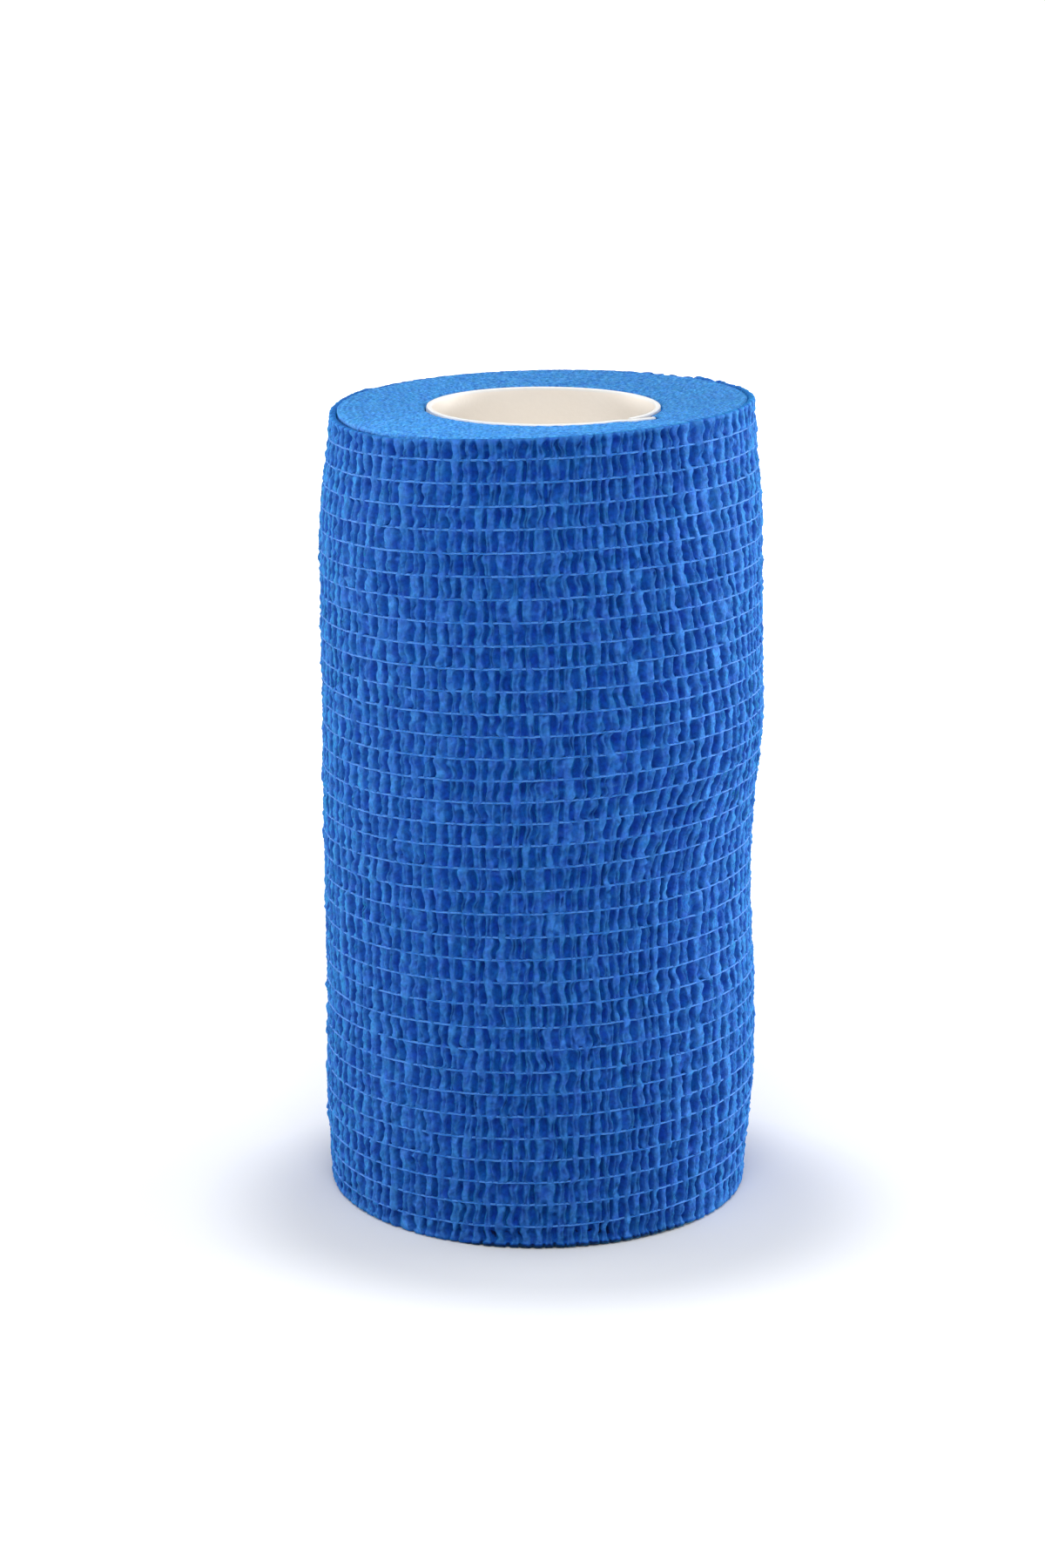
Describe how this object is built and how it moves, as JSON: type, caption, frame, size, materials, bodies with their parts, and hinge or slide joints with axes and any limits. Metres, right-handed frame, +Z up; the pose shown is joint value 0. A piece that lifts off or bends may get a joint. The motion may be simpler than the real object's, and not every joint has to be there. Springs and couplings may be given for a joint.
{
  "type": "cohesive bandage roll",
  "caption": "Roll of crinkled blue cohesive bandage with elastic warp threads, wound on a white rolled-sheet core and standing on its end.",
  "frame": {"origin": "on the surface the roll stands on, under the middle of the roll", "axes": "+Z up along the core, -Y towards the front of the picture, +X to its right"},
  "size_m": [0.0554, 0.0551, 0.1013],
  "materials": {
    "crinkled_cloth": "dry, matt and finely crinkled",
    "core_sheet": "satin"
  },
  "bodies": {
    "root": {"wound_bandage_cloth": "crinkled_cloth", "rolled_sheet_core": "core_sheet"}
  },
  "joints": []
}
